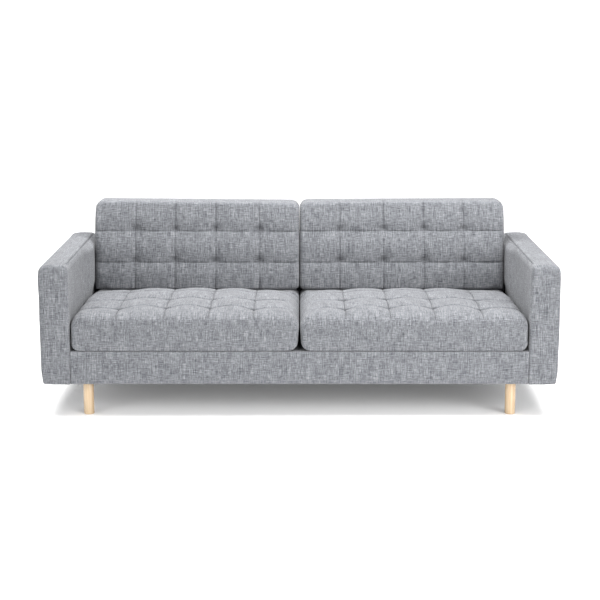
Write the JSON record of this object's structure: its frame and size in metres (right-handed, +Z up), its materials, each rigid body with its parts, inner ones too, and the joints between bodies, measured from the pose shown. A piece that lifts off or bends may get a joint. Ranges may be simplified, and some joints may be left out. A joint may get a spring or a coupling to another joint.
{
  "type": "three-seat sofa",
  "caption": "Long low sofa with slim box arms, loose tufted seat and back cushions in grey woven cloth, and short round wooden legs.",
  "frame": {"origin": "on the floor, under the middle of the sofa's width and depth", "axes": "+Z up, -Y to the front where a person sits down from, +X to the right-hand end as seen from the front"},
  "size_m": [2.04, 0.89, 0.7793],
  "materials": {
    "upholstery": "grey melange weave",
    "leg_wood": "clear satin lacquer on pale birch",
    "frame_timber": "planed softwood",
    "frame_board": "pressed fibreboard",
    "padding": "foam",
    "steel": "zinc plated",
    "lining": "thin black non-woven cloth"
  },
  "bodies": {
    "frame": {"back_bottom_rail": "frame_timber", "back_centre_stile": "frame_timber", "back_cover": "upholstery", "back_front_board": "frame_board", "back_left_stile": "frame_timber", "back_right_stile": "frame_timber", "back_top_rail": "frame_timber", "base_cover": "upholstery", "base_front_rail": "frame_timber", "base_left_rail": "frame_timber", "base_middle_rail": "frame_timber", "base_rear_rail": "frame_timber", "base_right_rail": "frame_timber", "base_spring_rail": "frame_timber", "deck_pad": "padding", "dust_cover": "lining", "front_left_corner_block": "frame_timber", "front_left_leg": "leg_wood", "front_left_leg_bolt": "steel", "front_right_corner_block": "frame_timber", "front_right_leg": "leg_wood", "front_right_leg_bolt": "steel", "left_arm_bolt_back": "steel", "left_arm_bolt_front": "steel", "left_arm_bolt_rear": "steel", "left_arm_bottom_rail": "frame_timber", "left_arm_cover": "upholstery", "left_arm_front_post": "frame_timber", "left_arm_inner_board": "frame_board", "left_arm_outer_board": "frame_board", "left_arm_padding": "padding", "left_arm_rear_post": "frame_timber", "left_arm_top_rail": "frame_timber", "left_seat_springs": "steel", "rear_left_corner_block": "frame_timber", "rear_left_leg": "leg_wood", "rear_left_leg_bolt": "steel", "rear_right_corner_block": "frame_timber", "rear_right_leg": "leg_wood", "rear_right_leg_bolt": "steel", "right_arm_bolt_back": "steel", "right_arm_bolt_front": "steel", "right_arm_bolt_rear": "steel", "right_arm_bottom_rail": "frame_timber", "right_arm_cover": "upholstery", "right_arm_front_post": "frame_timber", "right_arm_inner_board": "frame_board", "right_arm_outer_board": "frame_board", "right_arm_padding": "padding", "right_arm_rear_post": "frame_timber", "right_arm_top_rail": "frame_timber", "right_seat_springs": "steel"},
    "left_seat_cushion": {"left_seat_cushion_core": "padding", "left_seat_cushion_cover": "upholstery"},
    "right_seat_cushion": {"right_seat_cushion_core": "padding", "right_seat_cushion_cover": "upholstery"},
    "left_back_cushion": {"left_back_cushion_core": "padding", "left_back_cushion_cover": "upholstery"},
    "right_back_cushion": {"right_back_cushion_core": "padding", "right_back_cushion_cover": "upholstery"}
  },
  "joints": [
    {"name": "left_seat_cushion_slide", "type": "slide", "parent": "frame", "child": "left_seat_cushion", "axis": [0, -1, 0], "range_m": [0, 0.7]},
    {"name": "left_back_cushion_lift", "type": "slide", "parent": "frame", "child": "left_back_cushion", "axis": [0, 0.1045, 0.9945], "range_m": [0, 0.42]},
    {"name": "right_seat_cushion_slide", "type": "slide", "parent": "frame", "child": "right_seat_cushion", "axis": [0, -1, 0], "range_m": [0, 0.7]},
    {"name": "right_back_cushion_lift", "type": "slide", "parent": "frame", "child": "right_back_cushion", "axis": [0, 0.1045, 0.9945], "range_m": [0, 0.42]}
  ]
}
